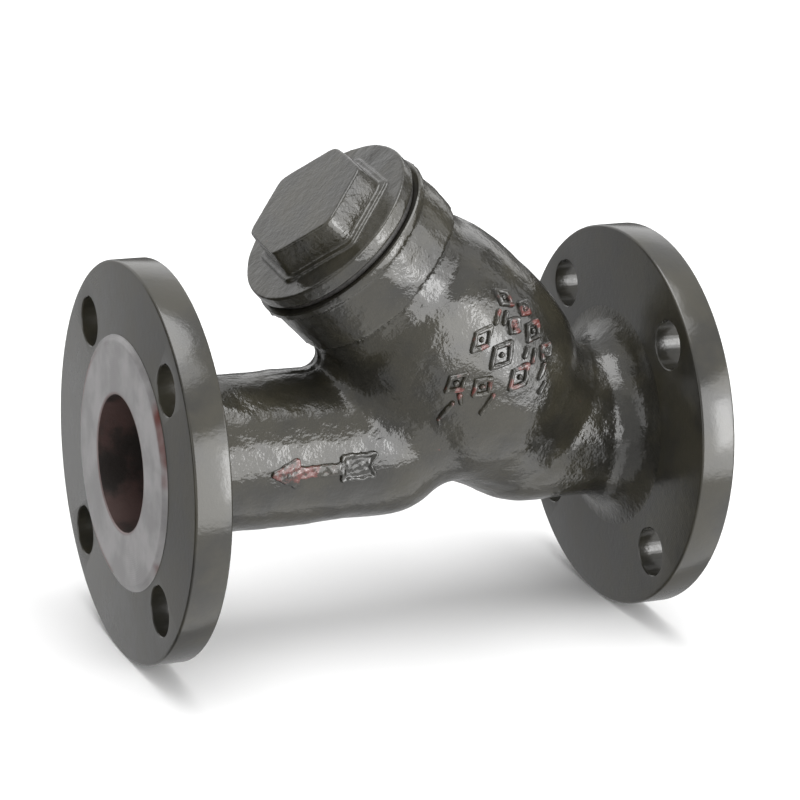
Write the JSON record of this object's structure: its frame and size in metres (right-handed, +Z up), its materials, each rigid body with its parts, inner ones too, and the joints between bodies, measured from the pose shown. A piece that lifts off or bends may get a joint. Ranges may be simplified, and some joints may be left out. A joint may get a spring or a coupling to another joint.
{
  "type": "y strainer",
  "caption": "Flanged cast-iron Y strainer that filters a pipe line, with a screwed hexagon cap over a draw-out perforated screen basket.",
  "frame": {"origin": "centre of the outlet port, in the plane of the outlet flange's raised face", "axes": "+X runs along the pipe from the outlet to the inlet, +Z is up, on the side of the leaning screen branch; water flows towards -X"},
  "size_m": [0.222, 0.1524, 0.1908],
  "materials": {
    "painted_casting": "glossy dark olive-grey paint over red primer",
    "gasket_sheet": "dark compressed gasket sheet",
    "screen_steel": "bright stainless sheet",
    "mesh_steel": "woven stainless wire cloth"
  },
  "bodies": {
    "strainer_body": {"body_casting": "painted_casting"},
    "screen_basket": {"screen_tube": "screen_steel", "screen_mesh": "mesh_steel", "screen_top_ring": "screen_steel", "screen_bottom_ring": "screen_steel", "screen_seam_strip": "screen_steel", "screen_seam_rivets": "screen_steel"},
    "gasket": {"cap_gasket": "gasket_sheet"},
    "screw_cap": {"cap": "painted_casting"}
  },
  "joints": [
    {"name": "basket_draw", "type": "slide", "parent": "strainer_body", "child": "screen_basket", "axis": [-0.7071, 0, 0.7071], "range_m": [0, 0.126]},
    {"name": "cap_rise", "type": "slide", "parent": "screen_basket", "child": "gasket", "axis": [-0.7071, 0, 0.7071], "range_m": [0, 0.0181]},
    {"name": "cap_turn", "type": "hinge", "parent": "gasket", "child": "screw_cap", "pos_m": [0.08456, 0, 0.08294], "axis": [-0.7071, 0, 0.7071], "range_deg": [0, 2160]}
  ],
  "couplings": [
    {"joint": "cap_rise", "follows": "cap_turn", "m_per_rad": 0.00047746}
  ]
}
